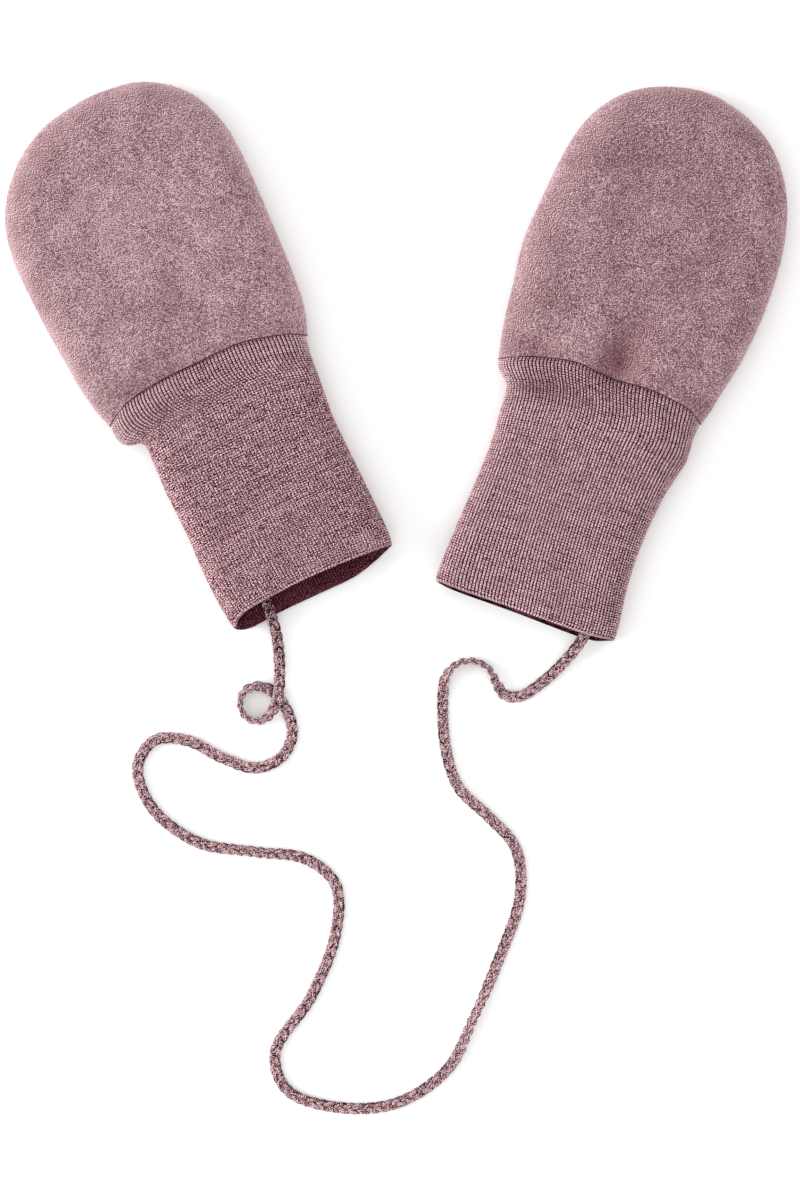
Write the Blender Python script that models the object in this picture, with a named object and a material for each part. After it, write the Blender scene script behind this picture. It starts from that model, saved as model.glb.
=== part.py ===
"""A pair of baby mittens on one cord, laid flat: fleece hands with rib-knit cuffs.

Run it with blender --background --python part.py, or from Blender's text editor. The tables are in
millimetres and degrees. The scene is in metres, +Z up, with its origin on the surface that the pair
lies on, under the middle of the two mittens. Each mitten is drawn in a frame of its own: x goes
across it and y along it, from the mouth of the cuff to the finger tip.
"""

import math
from collections import namedtuple

import bmesh
import bpy
import numpy as np

MM = 0.001

# Cloth and seams.
HAND_WALL = 2.5
CUFF_WALL = 2.2
SEAM_GAP = 0.3
RIB_DEPTH = 0.5

# The ribs fade in between these heights, so that the underside of a cuff stays flat.
RIBS_START = 1.0
RIBS_FULL = 4.0

# Cross sections: heights above the surface, and how far in from a side each roll goes.
SIDE_SEAM_HEIGHT = 5.6
HAND_FRONT_ROLL = 11.5
HAND_BACK_ROLL = 7.5
HAND_DOME = 1.0
CUFF_SIDE_HEIGHT = 5.6
CUFF_FRONT_ROLL = 8.0
CUFF_BACK_ROLL = 6.0
CUFF_DOME = 0.6

# How far the curved seam and the curved mouth bend the cloth beside them.
SEAM_REACH = 55.0
MOUTH_REACH = 36.0

# Steps of the hands. The rays of their skins run straight across up to the fan row, and past it
# they fan out from one point.
OUTLINE_STEPS = 2
FAN_ROW = 6
ROLL_STEPS = 5
FLAT_STEPS = 4
PLAIN_STEPS = 3

# Steps of the cuffs: ribs round the sides and front, plain steps inside and underneath, and the
# angles at which the rounded fold of the mouth is drawn.
RIBS = 78
PLAIN_RIBS = 36
UNDERSIDE_STEPS = 12
QUARTER_STEPS = 8
FOLD_ANGLES = (90.0, 45.0)

# Steps of the smooth curves, and how the meshes are finished.
TABLE_STEPS = 6
ROUTE_STEPS = 16
SHARP_ANGLE = 50.0
MERGE_DISTANCE = 0.01

# The cord is a flat braid, and this is its width. It has a point each step or each turn, or
# sooner where it does some of both.
CORD_DIAMETER = 3.5
CORD_STEP = 12.0
CORD_TURN = 48.0

Row = namedtuple("Row", "along left right height")
Seam = namedtuple("Seam", "across along")
Mouth = namedtuple("Mouth", "across front back")
Fold = namedtuple("Fold", "across along length width depth turn")
Mitten = namedtuple("Mitten", "name place turn hand tip cuff seam mouth folds")
Finish = namedtuple("Finish", "colour roughness")

LEFT = Mitten(
    name="left",
    place=(-27.1, -72.1),
    turn=26.0,
    hand=(
        Row(76.0, -35.4, 34.1, 13.2),
        Row(80.0, -36.6, 35.7, 14.4),
        Row(87.0, -38.0, 37.7, 15.3),
        Row(98.0, -39.0, 38.9, 15.7),
        Row(110.0, -39.8, 39.7, 15.8),
        Row(122.0, -40.1, 40.4, 15.8),
        Row(134.0, -39.8, 40.7, 15.7),
        Row(144.0, -38.2, 40.1, 15.5),
        Row(152.0, -34.7, 38.1, 15.3),
        Row(159.0, -29.1, 34.4, 15.2),
        Row(165.0, -22.0, 28.7, 15.2),
        Row(169.5, -12.8, 20.9, 15.2),
        Row(171.4, -3.6, 12.4, 15.2),
    ),
    tip=(4.4, 172.0),
    cuff=(
        Row(0.0, -27.9, 29.2, 11.2),
        Row(6.0, -28.6, 29.9, 11.5),
        Row(18.0, -29.0, 30.0, 11.6),
        Row(32.0, -28.4, 30.0, 11.4),
        Row(46.0, -28.5, 30.1, 11.5),
        Row(55.0, -28.0, 31.0, 11.7),
        Row(62.5, -28.0, 31.8, 12.0),
        Row(65.7, -31.8, 32.0, 12.4),
        Row(69.0, -34.4, 32.4, 12.8),
        Row(73.0, -35.2, 33.0, 12.9),
        Row(76.0, -34.9, 33.4, 12.3),
    ),
    seam=(
        Seam(-36.0, 74.2),
        Seam(-27.0, 78.4),
        Seam(-14.0, 80.2),
        Seam(0.0, 80.2),
        Seam(14.0, 79.8),
        Seam(27.0, 76.4),
        Seam(35.0, 72.6),
    ),
    mouth=(
        Mouth(-28.0, 0.9, -2.8),
        Mouth(-22.0, 2.3, -3.4),
        Mouth(-12.0, 3.0, -2.9),
        Mouth(2.0, 3.1, -3.1),
        Mouth(15.0, 2.4, -3.1),
        Mouth(28.0, 1.2, 0.2),
    ),
    folds=(
        Fold(-21.0, 84.0, 16.0, 3.5, 1.6, 8.0),
        Fold(24.0, 77.5, 7.0, 4.0, 1.4, -12.0),
        Fold(4.0, 98.0, 6.0, 18.0, 1.1, 0.0),
        Fold(-24.0, 97.0, 13.0, 5.0, 0.8, 24.0),
        Fold(-10.0, 30.0, 15.0, 3.0, 1.0, 14.0),
        Fold(-15.0, 70.0, 12.0, 3.5, 0.9, 4.0),
        Fold(27.5, 66.8, 3.5, 3.0, 1.2, 0.0),
    ),
)

RIGHT = Mitten(
    name="right",
    place=(42.7, -78.5),
    turn=-20.0,
    hand=(
        Row(75.0, -36.4, 31.5, 13.2),
        Row(79.0, -37.3, 32.6, 14.4),
        Row(86.0, -38.7, 34.2, 15.3),
        Row(98.0, -40.3, 36.8, 15.7),
        Row(110.0, -41.9, 38.2, 15.8),
        Row(122.0, -41.2, 38.3, 15.8),
        Row(134.0, -40.0, 37.4, 15.7),
        Row(144.0, -38.7, 35.2, 15.5),
        Row(152.0, -36.4, 32.1, 15.3),
        Row(159.5, -32.4, 27.4, 15.2),
        Row(166.0, -26.1, 20.9, 15.2),
        Row(170.6, -18.1, 12.8, 15.2),
        Row(173.3, -9.0, 4.0, 15.2),
    ),
    tip=(-2.5, 174.0),
    cuff=(
        Row(0.0, -31.2, 29.2, 10.9),
        Row(6.0, -31.4, 28.8, 11.5),
        Row(18.0, -30.9, 27.2, 11.6),
        Row(32.0, -30.0, 26.9, 11.4),
        Row(46.0, -29.6, 28.1, 11.5),
        Row(55.0, -30.2, 29.8, 11.7),
        Row(61.0, -30.5, 31.2, 12.0),
        Row(66.0, -31.4, 31.1, 12.4),
        Row(70.0, -34.1, 30.8, 12.8),
        Row(73.0, -35.9, 30.9, 12.9),
        Row(75.0, -36.2, 31.0, 12.3),
    ),
    seam=(
        Seam(-37.0, 71.0),
        Seam(-26.0, 75.6),
        Seam(-13.0, 78.3),
        Seam(0.0, 77.6),
        Seam(13.0, 78.2),
        Seam(25.0, 76.8),
        Seam(32.0, 73.4),
    ),
    mouth=(
        Mouth(-31.0, -2.0, -2.7),
        Mouth(-23.0, -2.4, -3.3),
        Mouth(-5.0, -2.1, -3.2),
        Mouth(13.0, -2.1, -3.5),
        Mouth(22.0, -1.8, -3.3),
        Mouth(28.0, -0.9, -1.4),
    ),
    folds=(
        Fold(-0.6, 83.0, 6.0, 6.5, 3.2, -14.0),
        Fold(1.0, 95.0, 4.4, 11.0, 1.0, -16.0),
        Fold(8.0, 85.5, 8.0, 3.0, 1.0, -10.0),
        Fold(-30.0, 79.0, 7.0, 4.5, 2.0, 6.0),
        Fold(27.0, 80.0, 8.0, 4.0, 1.6, -14.0),
        Fold(-22.0, 66.5, 13.0, 4.0, 1.8, 8.0),
        Fold(24.0, 66.0, 4.0, 8.0, 1.0, 8.0),
        Fold(-23.2, 78.5, 6.0, 3.0, 1.6, 0.0),
        Fold(-14.0, 71.0, 9.0, 3.5, 1.2, 8.0),
    ),
)

# The cord's middle line, from inside the left cuff to inside the right one. It rests on the
# surface, climbs over the edge of each cuff and crosses over itself once, in the small loop.
LYING = CORD_DIAMETER / 2
IN_CUFF = CUFF_WALL + SEAM_GAP + CORD_DIAMETER / 2
CORD_ROUTE = (
    (-45.8, -67.0, IN_CUFF),
    (-41.7, -76.3, IN_CUFF),
    (-39.8, -81.8, IN_CUFF),
    (-38.3, -87.4, 2.5),
    (-37.6, -93.6, LYING),
    (-37.3, -100.0, 3.6),
    (-37.7, -106.0, 5.6),
    (-39.5, -111.6, 4.6),
    (-43.4, -115.0, 2.6),
    (-47.8, -114.1, LYING),
    (-50.0, -110.2, LYING),
    (-48.9, -105.8, LYING),
    (-45.0, -103.8, LYING),
    (-40.6, -105.0, LYING),
    (-36.9, -108.6, LYING),
    (-34.2, -113.6, LYING),
    (-33.3, -119.6, LYING),
    (-36.6, -126.4, LYING),
    (-45.0, -130.1, LYING),
    (-55.4, -127.0, LYING),
    (-67.0, -121.3, LYING),
    (-77.4, -121.2, LYING),
    (-82.9, -129.6, LYING),
    (-78.2, -143.0, LYING),
    (-63.5, -154.0, LYING),
    (-45.1, -157.0, LYING),
    (-28.8, -159.4, LYING),
    (-19.4, -167.6, LYING),
    (-19.4, -183.4, LYING),
    (-27.2, -203.4, LYING),
    (-38.8, -221.6, LYING),
    (-35.0, -233.4, LYING),
    (-19.1, -239.0, LYING),
    (0.3, -237.6, LYING),
    (16.5, -226.8, LYING),
    (25.0, -210.0, LYING),
    (32.4, -193.0, LYING),
    (39.8, -171.4, LYING),
    (38.4, -155.8, LYING),
    (30.0, -146.0, LYING),
    (20.2, -136.4, LYING),
    (16.0, -124.0, LYING),
    (15.1, -106.0, LYING),
    (16.2, -100.2, LYING),
    (20.0, -96.4, LYING),
    (25.2, -95.8, LYING),
    (29.6, -98.0, LYING),
    (32.0, -102.4, LYING),
    (34.8, -106.6, LYING),
    (39.6, -107.2, LYING),
    (47.2, -102.4, LYING),
    (55.6, -94.2, 2.3),
    (60.2, -87.8, IN_CUFF),
    (62.4, -82.4, IN_CUFF),
    (65.0, -75.4, IN_CUFF),
)

FLEECE = Finish((0.397, 0.254, 0.270), 0.95)
RIB_KNIT = Finish((0.319, 0.188, 0.202), 0.9)
CORD_KNIT = Finish((0.300, 0.180, 0.195), 0.9)


def smooth_curve(points, steps, power=0.0):
    """Reads a smooth curve through the points, in so many steps a gap. A power of 0.5 keeps it from
    overshooting where the gaps are unlike."""
    points = np.asarray(points, float)
    gaps = np.linalg.norm(np.diff(points, axis=0), axis=1)[:, None] ** power
    speeds = np.diff(points, axis=0) / gaps
    within = (speeds[:-1] * gaps[1:] + speeds[1:] * gaps[:-1]) / (gaps[:-1] + gaps[1:])
    slopes = np.vstack((speeds[:1], within, speeds[-1:]))
    t = np.arange(steps)[:, None] / steps
    curve = []
    for start, end, leaving, arriving, gap in zip(points, points[1:], slopes, slopes[1:], gaps):
        bend = t * (1 - t) * gap * ((1 - t) * leaving - t * arriving)
        ease = t * t * (3 - 2 * t)
        curve.append(start + (end - start) * ease + bend)
    return np.vstack(curve + [points[-1:]])


def read_off(rows, at, column=1):
    """The value at each place, on the smooth curve through a table's first column and another."""
    curve = smooth_curve([(row[0], row[column]) for row in rows], TABLE_STEPS)
    return np.interp(at, curve[:, 0], curve[:, 1])


def ease(share):
    """0 to 1 with level ends."""
    share = np.clip(share, 0.0, 1.0)
    return share * share * (3 - 2 * share)


def fold_depth(mitten, across, along):
    """How far the folds and dimples press the front of the mitten down."""
    depth = np.zeros_like(across)
    for fold in mitten.folds:
        turn = math.radians(fold.turn)
        x = across - fold.across
        y = along - fold.along
        length = (x * math.cos(turn) + y * math.sin(turn)) / fold.length
        width = (y * math.cos(turn) - x * math.sin(turn)) / fold.width
        depth += fold.depth * np.exp(-length * length - width * width)
    return depth


def seam_shift(mitten, across, along, side):
    """Bends rows near the sewn seam until the last one follows it, half the gap to one side."""
    seam_at = mitten.hand[0].along
    near = 1 - ease(np.abs(along - seam_at) / SEAM_REACH)
    return near * (read_off(mitten.seam, across) + side * SEAM_GAP / 2 - seam_at)


def hand_rays(mitten):
    """Points round the outline of a hand and, for each, the point of the middle line that its ray
    runs to. Past the fan row, all rays run to one point."""
    left = [(row.left, row.along) for row in mitten.hand]
    right = [(row.right, row.along) for row in mitten.hand]
    outline = smooth_curve(left + [mitten.tip] + right[::-1], OUTLINE_STEPS)
    middle = (outline + outline[::-1]) / 2
    place = np.arange(len(outline))
    ends = np.minimum(np.minimum(place, place[::-1]), FAN_ROW * OUTLINE_STEPS)
    return outline, middle[ends]


def panel_skin(mitten, front, inset, roll_steps, flat_steps):
    """One skin of a hand panel, a row of points a ray: first the roll at its side, then the rest."""
    outline, middle = hand_rays(mitten)
    roll = HAND_FRONT_ROLL if front else HAND_BACK_ROLL
    turn = np.linspace(0.0, math.pi / 2, roll_steps + 1)
    flat = np.arange(1, flat_steps + 1) / flat_steps
    reach = np.linalg.norm(middle - outline, axis=1)[:, None]
    rolled = (inset + (roll - inset) * (1 - np.cos(turn))) / reach
    level = roll / reach + (1 - roll / reach) * flat
    share = np.hstack((rolled, level))[:, :, None]
    lift = np.concatenate((np.sin(turn), np.ones(flat_steps)))
    dome = np.concatenate((np.zeros(roll_steps + 1), np.sin(flat * math.pi / 2)))
    plan = outline[:, None] * (1 - share) + middle[:, None] * share
    across = plan[:, :, 0]
    along = plan[:, :, 1]
    crown = read_off(mitten.hand, along, column=3) + HAND_DOME * dome
    along = along + seam_shift(mitten, across, along, 1)
    if front:
        low = SIDE_SEAM_HEIGHT + SEAM_GAP / 2
        height = low + (crown - inset - fold_depth(mitten, across, along) - low) * lift
    else:
        low = SIDE_SEAM_HEIGHT - SEAM_GAP / 2
        height = np.broadcast_to(low + (inset - low) * lift, across.shape)
    return np.stack((across, along, height), axis=2)


def cuff_section(row, inset, over, under):
    """A loop round a cuff in equal steps: over its sides and front, then back along the flat
    underside. Each point is (across, height)."""
    turn = np.linspace(0.0, math.pi / 2, QUARTER_STEPS + 1)
    low_in = CUFF_BACK_ROLL - (CUFF_BACK_ROLL - inset) * np.sin(turn)
    low_up = CUFF_SIDE_HEIGHT - (CUFF_SIDE_HEIGHT - inset) * np.cos(turn)
    high_in = CUFF_FRONT_ROLL - (CUFF_FRONT_ROLL - inset) * np.cos(turn)
    high_up = CUFF_SIDE_HEIGHT + (row.height - inset - CUFF_SIDE_HEIGHT) * np.sin(turn)
    side_in = np.concatenate((low_in, high_in[1:]))
    side_up = np.concatenate((low_up, high_up[1:]))
    share = np.arange(1, 2 * QUARTER_STEPS) / (2 * QUARTER_STEPS)
    left = row.left + CUFF_FRONT_ROLL
    right = row.right - CUFF_FRONT_ROLL
    top_across = left + (right - left) * share
    top_up = side_up[-1] + CUFF_DOME * np.sin(share * math.pi)
    across = np.concatenate((row.left + side_in, top_across, (row.right - side_in)[::-1]))
    up = np.concatenate((side_up, top_up, side_up[::-1]))
    walked = np.concatenate(([0.0], np.cumsum(np.hypot(np.diff(across), np.diff(up)))))
    stops = np.linspace(0.0, walked[-1], over + 1)
    across = np.interp(stops, walked, across)
    up = np.interp(stops, walked, up)
    back = np.arange(1, under) / under
    across = np.concatenate((across, across[-1] + (across[0] - across[-1]) * back))
    up = np.concatenate((up, np.full(under - 1, inset)))
    return np.column_stack((across, up))


def raise_ribs(section, over):
    """Moves every other point out and the rest in. The ribs fade out where the cuff lies down."""
    ahead = np.roll(section, -1, axis=0) - np.roll(section, 1, axis=0)
    outward = np.column_stack((-ahead[:, 1], ahead[:, 0])) / np.linalg.norm(ahead, axis=1)[:, None]
    side = np.where(np.arange(len(section)) % 2, 0.5, -0.5) * RIB_DEPTH
    side[over + 1 :] = 0.0
    shown = ease((section[:, 1] - RIBS_START) / (RIBS_FULL - RIBS_START))
    return section + outward * (side * shown)[:, None]


def cuff_ring(mitten, row, inset, over, under, ribbed):
    """One loop of a cuff's skin, bent to follow the mouth or the seam where it is near one."""
    section = cuff_section(row, inset, over, under)
    if ribbed:
        section = raise_ribs(section, over)
    across, up = section.T
    along = np.full(len(across), row.along)
    front = ease(up / row.height)
    edge = read_off(mitten.mouth, across) * front + read_off(mitten.mouth, across, 2) * (1 - front)
    shift = seam_shift(mitten, across, along, -1) + edge * (1 - ease(along / MOUTH_REACH))
    along = along + shift
    pressed = np.clip((up - CUFF_SIDE_HEIGHT) / (row.height - CUFF_SIDE_HEIGHT), 0.0, 1.0)
    up = up - fold_depth(mitten, across, along) * pressed
    return np.column_stack((across, along, up))


def add_points(mesh, points):
    return [mesh.verts.new(point) for point in np.asarray(points) * MM]


def join_rows(mesh, rows, closed):
    """Faces between neighbouring rows of points, which are loops where closed."""
    for row, following in zip(rows, rows[1:]):
        count = len(row) if closed else len(row) - 1
        for i in range(count):
            j = (i + 1) % len(row)
            mesh.faces.new((row[i], row[j], following[j], following[i]))


def zip_rows(mesh, first, second):
    """Closes the band between two rows of unlike counts, always by the shorter diagonal."""
    i = 0
    j = 0
    while i < len(first) - 1 or j < len(second) - 1:
        if j == len(second) - 1:
            step_first = True
        elif i == len(first) - 1:
            step_first = False
        else:
            one = (first[i + 1].co - second[j].co).length
            other = (first[i].co - second[j + 1].co).length
            step_first = one <= other
        if step_first:
            mesh.faces.new((first[i], first[i + 1], second[j]))
            i += 1
        else:
            mesh.faces.new((first[i], second[j + 1], second[j]))
            j += 1


def finish_mesh(mesh, name, finish, parent):
    """Turns a bmesh into a named object with its material, in its mitten's frame."""
    bmesh.ops.remove_doubles(mesh, verts=mesh.verts, dist=MERGE_DISTANCE * MM)
    bmesh.ops.recalc_face_normals(mesh, faces=mesh.faces)
    data = bpy.data.meshes.new(name)
    mesh.to_mesh(data)
    mesh.free()
    data.shade_smooth()
    data.set_sharp_from_angle(angle=math.radians(SHARP_ANGLE))
    add_object(name, data, finish, parent)


def add_object(name, data, finish, parent=None):
    material = bpy.data.materials.new(name)
    material.use_nodes = True
    shader = material.node_tree.nodes["Principled BSDF"]
    shader.inputs["Base Color"].default_value = (*finish.colour, 1.0)
    shader.inputs["Roughness"].default_value = finish.roughness
    shader.inputs["Metallic"].default_value = 0.0
    data.materials.append(material)
    thing = bpy.data.objects.new(name, data)
    thing.parent = parent
    pair.objects.link(thing)


def add_panel(mitten, parent, front):
    """The front or the back of a hand: an outer and an inner skin, joined round the edge."""
    mesh = bmesh.new()
    outer_skin = panel_skin(mitten, front, 0.0, ROLL_STEPS, FLAT_STEPS)
    inner_skin = panel_skin(mitten, front, HAND_WALL, PLAIN_STEPS, PLAIN_STEPS)
    outer = [add_points(mesh, ray) for ray in outer_skin]
    inner = [add_points(mesh, ray) for ray in inner_skin]
    join_rows(mesh, outer, closed=False)
    join_rows(mesh, inner, closed=False)
    side = [[ray[0] for ray in outer], [ray[0] for ray in inner]]
    join_rows(mesh, side, closed=False)
    zip_rows(mesh, outer[0], inner[0])
    zip_rows(mesh, outer[-1], inner[-1])
    name = f"{mitten.name}_hand_{'front' if front else 'back'}"
    finish_mesh(mesh, name, FLEECE, parent)


def add_cuff(mitten, parent):
    """A cuff: a ribbed tube with a plain inside, whose mouth is a rounded fold."""
    mesh = bmesh.new()
    mouth = mitten.cuff[0]
    fold_radius = CUFF_WALL / 2
    outer = []
    for degrees in FOLD_ANGLES:
        turn = math.radians(degrees)
        inset = fold_radius * (1 - math.cos(turn))
        row = mouth._replace(along=fold_radius * (1 - math.sin(turn)))
        ribbed = degrees < 90.0
        outer.append(cuff_ring(mitten, row, inset, 2 * RIBS, UNDERSIDE_STEPS, ribbed))
    inner = []
    for row in (mouth._replace(along=fold_radius),) + mitten.cuff[1:]:
        outer.append(cuff_ring(mitten, row, 0.0, 2 * RIBS, UNDERSIDE_STEPS, ribbed=True))
        inner.append(cuff_ring(mitten, row, CUFF_WALL, PLAIN_RIBS, UNDERSIDE_STEPS, ribbed=False))
    outer = [add_points(mesh, ring) for ring in outer]
    inner = [add_points(mesh, ring) for ring in inner]
    join_rows(mesh, outer, closed=True)
    join_rows(mesh, inner, closed=True)
    for end in (0, -1):
        zip_rows(mesh, outer[end] + outer[end][:1], inner[end] + inner[end][:1])
    finish_mesh(mesh, f"{mitten.name}_cuff", RIB_KNIT, parent)


def add_cord():
    """The cord, a tube along its route, with its points closer together where it bends."""
    curve = smooth_curve(CORD_ROUTE, ROUTE_STEPS, power=0.5)
    steps = np.diff(curve, axis=0)
    lengths = np.linalg.norm(steps, axis=1)
    directions = steps / lengths[:, None]
    turns = np.degrees(np.arccos(np.clip((directions[1:] * directions[:-1]).sum(axis=1), -1, 1)))
    kept = [curve[0]]
    walked = 0.0
    turned = 0.0
    for point, length, turn in zip(curve[1:-1], lengths, turns):
        walked += length
        turned += turn
        if walked / CORD_STEP + turned / CORD_TURN >= 1.0:
            kept.append(point)
            walked = 0.0
            turned = 0.0
    kept.append(curve[-1])
    data = bpy.data.curves.new("cord", "CURVE")
    data.dimensions = "3D"
    data.bevel_depth = CORD_DIAMETER / 2 * MM
    data.bevel_resolution = 2
    data.use_fill_caps = True
    spline = data.splines.new("POLY")
    spline.points.add(len(kept) - 1)
    for place, point in zip(spline.points, kept):
        place.co = (*(point * MM), 1.0)
    spline.use_smooth = True
    add_object("cord", data, CORD_KNIT)


def add_mitten(mitten):
    frame = bpy.data.objects.new(f"{mitten.name}_mitten", None)
    frame.location = (mitten.place[0] * MM, mitten.place[1] * MM, 0.0)
    frame.rotation_euler = (0.0, 0.0, math.radians(mitten.turn))
    pair.objects.link(frame)
    add_panel(mitten, frame, front=True)
    add_panel(mitten, frame, front=False)
    add_cuff(mitten, frame)


for old in list(bpy.data.objects):
    bpy.data.objects.remove(old)
pair = bpy.data.collections.new("pair_of_baby_mittens")
bpy.context.scene.collection.children.link(pair)
for side_mitten in (LEFT, RIGHT):
    add_mitten(side_mitten)
add_cord()
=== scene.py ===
"""The looks of a pair of baby mittens on one cord: brushed fleece hands, rib-knit cuffs, a plaited cord.

The tables are in millimetres and degrees, as in the part's own source. Each mitten is drawn in a
frame of its own: x goes across it and y along it, from the mouth of the cuff to the finger tip.
"""

import math
from collections import namedtuple

import bmesh
import bpy
import numpy as np
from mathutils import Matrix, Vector, noise


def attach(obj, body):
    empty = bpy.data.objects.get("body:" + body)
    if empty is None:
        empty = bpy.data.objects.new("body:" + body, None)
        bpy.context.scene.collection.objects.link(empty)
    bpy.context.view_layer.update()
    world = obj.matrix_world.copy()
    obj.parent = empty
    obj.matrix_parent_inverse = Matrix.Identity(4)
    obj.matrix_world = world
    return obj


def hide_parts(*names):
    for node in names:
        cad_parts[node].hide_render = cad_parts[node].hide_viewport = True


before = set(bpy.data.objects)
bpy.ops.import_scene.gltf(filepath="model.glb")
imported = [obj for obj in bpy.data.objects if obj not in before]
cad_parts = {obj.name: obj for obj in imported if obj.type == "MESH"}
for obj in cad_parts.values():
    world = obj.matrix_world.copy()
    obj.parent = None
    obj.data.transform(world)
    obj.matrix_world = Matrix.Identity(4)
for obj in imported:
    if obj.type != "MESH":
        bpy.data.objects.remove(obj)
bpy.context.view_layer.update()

MM = 0.001

# Cloth and seams. The cloth turns down into the seam of a cuff over SEAM_ROUND, and for each
# millimetre that it does it is darkened with painted shade, as much as a fold SEAM_TINT deep.
HAND_WALL = 2.5
CUFF_WALL = 2.2
SEAM_GAP = 0.3
CUFF_SEAM_GAP = 0.06
SEAM_SLANT = 0.2
SEAM_ROUND = 0.15
SEAM_TINT = 60.0

# Cross sections: heights above the surface, how far in from a side each roll goes, and how much
# the middle domes.
SIDE_SEAM_HEIGHT = 5.6
HAND_FRONT_ROLL = 11.5
HAND_BACK_ROLL = 7.5
HAND_DOME = 1.0
CUFF_SIDE_HEIGHT = 5.6
CUFF_FRONT_ROLL = 8.0
CUFF_BACK_ROLL = 6.0
CUFF_DOME = 0.6

# How far the curved seam and the curved mouth bend the cloth beside them.
SEAM_REACH = 55.0
MOUTH_REACH = 36.0

# Steps of the hands: round the outline, and then over the roll and the flat of each skin. Past the
# fan row, the rays of a skin run to one point. A table's curve has TABLE_STEPS between two rows, and
# points of a shell closer than MERGE_DISTANCE become one.
OUTLINE_STEPS = 20
FAN_ROW = 6
FRONT_STEPS = (30, 66)
BACK_STEPS = (16, 12)
INSIDE_STEPS = (4, 4)
TABLE_STEPS = 12
MERGE_DISTANCE = 0.004

# Knit of the cuffs. Each rib is a wale of stitches with two legs, drawn by four points across and
# three along. The legs start close together and spread. A point that stands HALF_UP in its stitch is
# level with the plain cuff, and RIB_MIDDLE and LOOP_MIDDLE are how high a point and a stitch stand on
# the whole. How high a point stands also paints shade into the knit's colour, darker low down. Beside
# the seam the knit is stretched, and its ribs' painted shade is set by the two values of SEAM_RIBBING,
# in the middle and at the sides. The ribs of a cuff may lean: they turn about LEAN_MIDDLE, most in the
# middle of its front and not at its sides. The way over a cuff is WAY_OVER times its width. The ribs
# fade in between RIBS_START and RIBS_FULL above the surface. FOLD_ANGLES has the rings of the mouth's
# rounded fold.
RIBS = 78
COURSES = 96
STITCH_ROWS = 3
LEGS_START = 0.12
LEGS_SPREAD = 0.2
LEG_HEIGHTS = (0.4, 0.6)
LEG_MIDDLE = 0.7
HALF_UP = 0.5
RIB_MIDDLE = (2.0 + LEG_MIDDLE) / 4
LOOP_MIDDLE = 0.75
SEAM_RIBBING = (0.6, 1.4)
STITCH_HEIGHT = 0.5
STRETCH_REACH = 9.0
STRETCH_MORE = 0.6
LEAN_MIDDLE = 36.0
WAY_OVER = 1.45
INSIDE_ROWS = 18
INSIDE_RIBS = 48
INSIDE_RIB_HEIGHT = 0.9
UNDERSIDE_STEPS = 10
QUARTER_STEPS = 12
FOLD_ANGLES = (90.0, 60.0, 30.0)
RIBS_START = 0.6
RIBS_FULL = 3.0

# What each point of the knit carries beside its place: how hollow it lies, counting its turn into the
# seam, which sets its painted shade; how high it stands in its stitch and its stitch in the row, and the
# product of those two, which paint shade between the ribs and stitches; and its leg and its course by
# number.
KNIT_VALUES = ("hollow", "relief", "loop", "crown", "leg", "course")

# Nap of the fleece: soft lumps, the pile's own grain, and the tufts that stand in it. Below
# PILE_CLEAR the lumps and the grain fade out and no tuft stands. The pile is painted lighter, as a
# painted sheen, where its normal is less upright than BEND_START, and painted a little darker, as
# painted shade, where its grain lies low.
# Each tuft is a thin spike with a base of three corners. Those at the seam are short, are darkened
# with painted shade like a fold SEAM_TUFT_TINT deep, and lean over the seam.
LUMP_SIZE = 9.0
LUMP_HEIGHT = 0.4
PILE_SIZE = 1.2
PILE_HEIGHT = 0.1
PILE_CLEAR = 2.5
FRONT_TUFTS = 14000
BACK_TUFTS = 3000
BEND_START = 0.95
SEAM_TUFTS = 4000
SEAM_TUFT_TURN = (5.0, 70.0)
SEAM_TUFT_SPREAD = 0.6
SEAM_TUFT_SIZE = 0.5
SEAM_TUFT_TINT = 7.0
TUFT_LENGTH = (0.5, 1.1)
TUFT_WIDTH = (0.08, 0.14)
TUFT_TILT = (50.0, 80.0)
TUFT_ROOT = 0.15
TUFT_CORNERS = 3

# The cord: three strands of three yarns, plaited flat. Its strands dwell at the sides. It is painted
# darker in the grooves between its yarns, as painted shade, and darker for about PLUM_END at its left
# end.
CORD_WIDTH = 3.7
CORD_THICKNESS = 2.0
SIDE_DWELL = 1.4
PLAIT_LENGTH = 9.3
STRANDS = 3
YARNS = 3
YARN_RADIUS = 0.36
YARN_SPACING = 0.42
YARN_SIDES = 6
MIDDLE_YARN_UP = 0.12
GROOVE_SHADE = 1.1
PLUM_END = 28.0
PLUM_END_TONE = 0.5
PLUM_END_FADE = 4
PLAIT_SWING = CORD_WIDTH / 2 - YARN_SPACING - YARN_RADIUS
PLAIT_RISE = CORD_THICKNESS / 2 - YARN_RADIUS - MIDDLE_YARN_UP
CORD_SPACING = 0.62
ROUTE_STEPS = 16

# The tables of a mitten. A Row says how far the cloth reaches to the left and the right at a place
# along the mitten, and how high it stands. A Seam is a point of the curved seam between cuff and
# hand. A Mouth says how far in from the start of the cuff its front and its back edge lie. A Fold has
# its middle, the reach of its length and of its width, its depth and its turn; it presses the cloth down
# and paints shade into it. In a Mitten, lean is how far the ribs lean, ribbing how much painted shade
# shows between its ribs, and shade how much darker all its cloth is drawn.
Row = namedtuple("Row", "along left right height")
Seam = namedtuple("Seam", "across along")
Mouth = namedtuple("Mouth", "across front back")
Fold = namedtuple("Fold", "across along length width depth turn")
Mitten = namedtuple("Mitten", "name place turn lean ribbing shade hand tip cuff seam mouth folds")

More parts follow.
